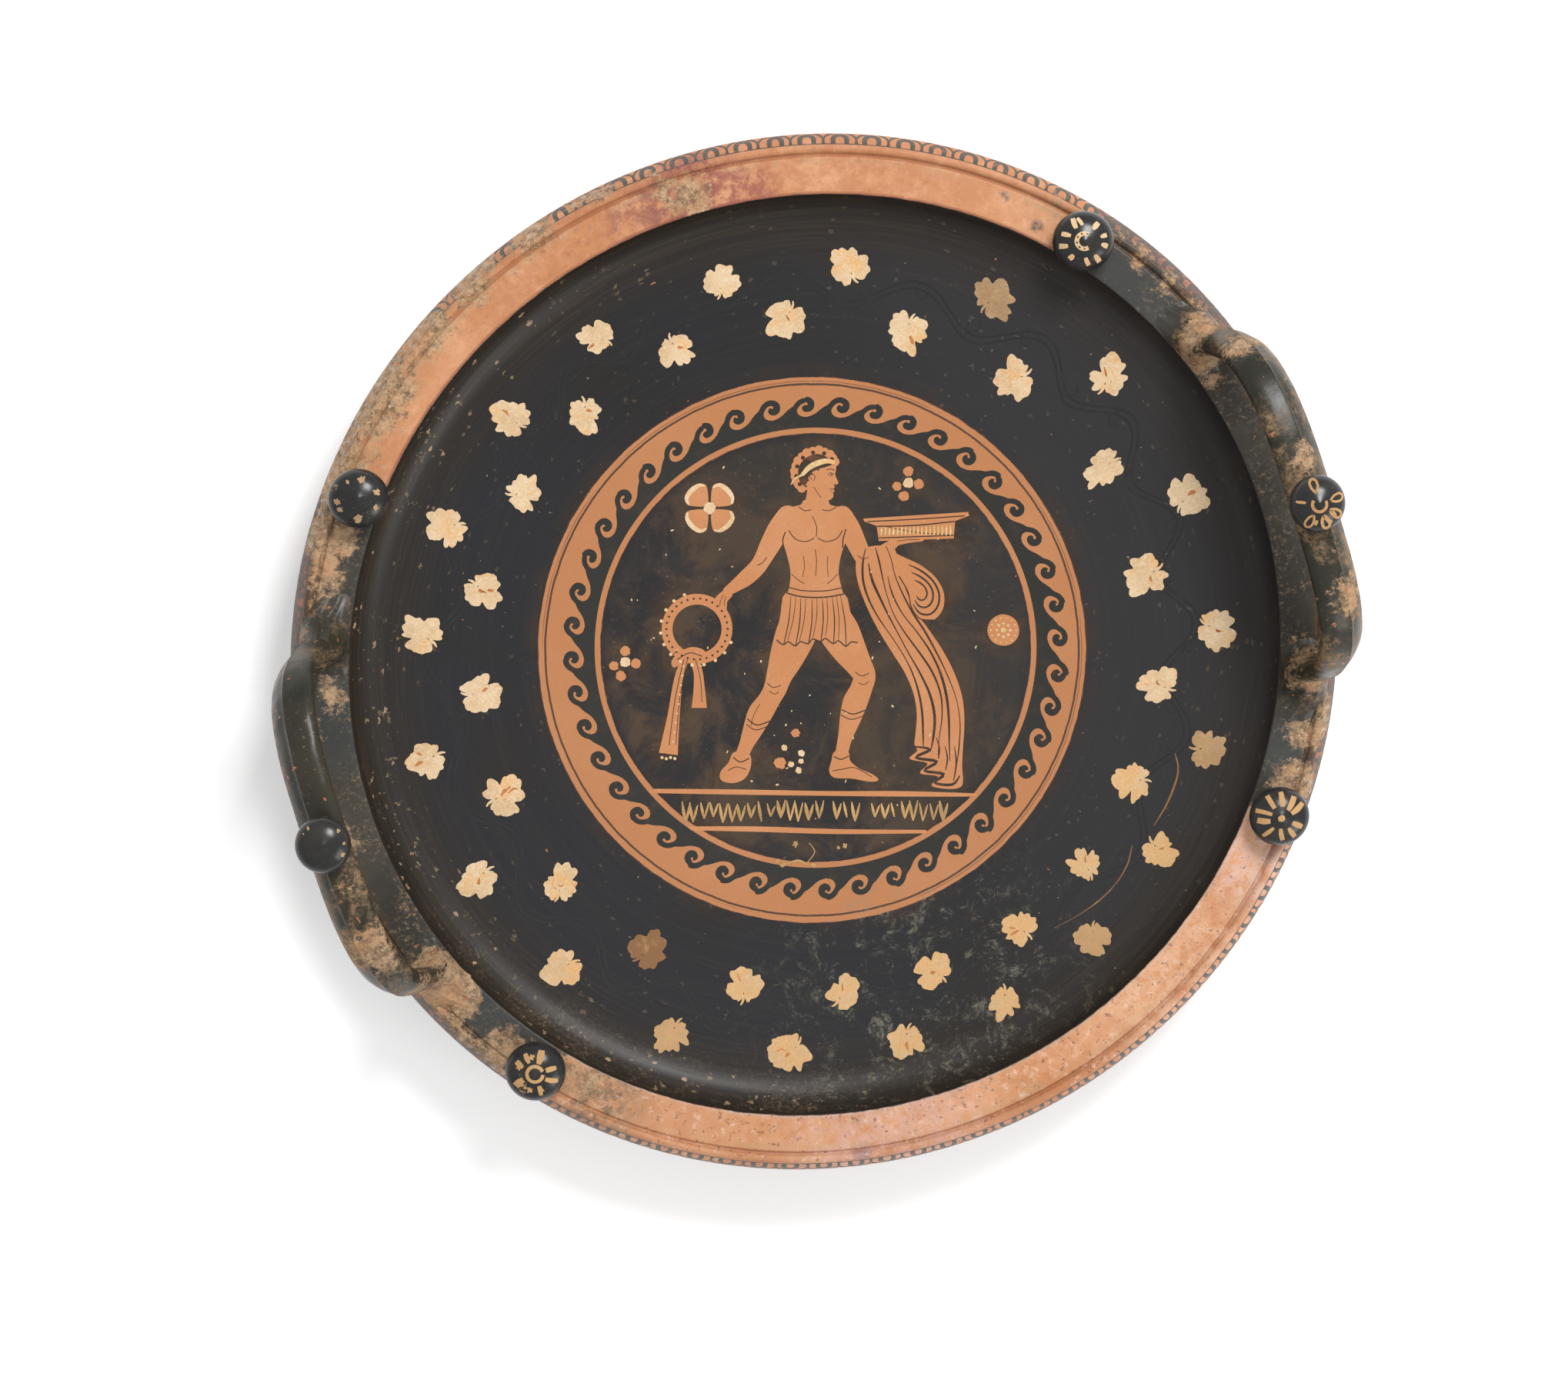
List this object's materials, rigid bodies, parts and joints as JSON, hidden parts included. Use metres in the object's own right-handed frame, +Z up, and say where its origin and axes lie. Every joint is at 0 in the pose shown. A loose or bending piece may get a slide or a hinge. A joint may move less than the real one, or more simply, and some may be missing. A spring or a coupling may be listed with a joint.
{
  "type": "patera",
  "caption": "Shallow painted clay dish on a ring foot, with a broad flat rim, upright arched handles and mushroom knobs on the rim and handles",
  "frame": {"origin": "centre of the foot's resting plane", "axes": "+X runs through the middles of the two handles, +Z up out of the dish, +Y across"},
  "size_m": [0.4686, 0.4544, 0.1424],
  "materials": {
    "gloss_clay": "fired clay under a semi-matt black gloss, with orange reserved figures, cream and yellow paint, wear and deposit"
  },
  "bodies": {
    "root": {"patera": "gloss_clay"}
  },
  "joints": []
}
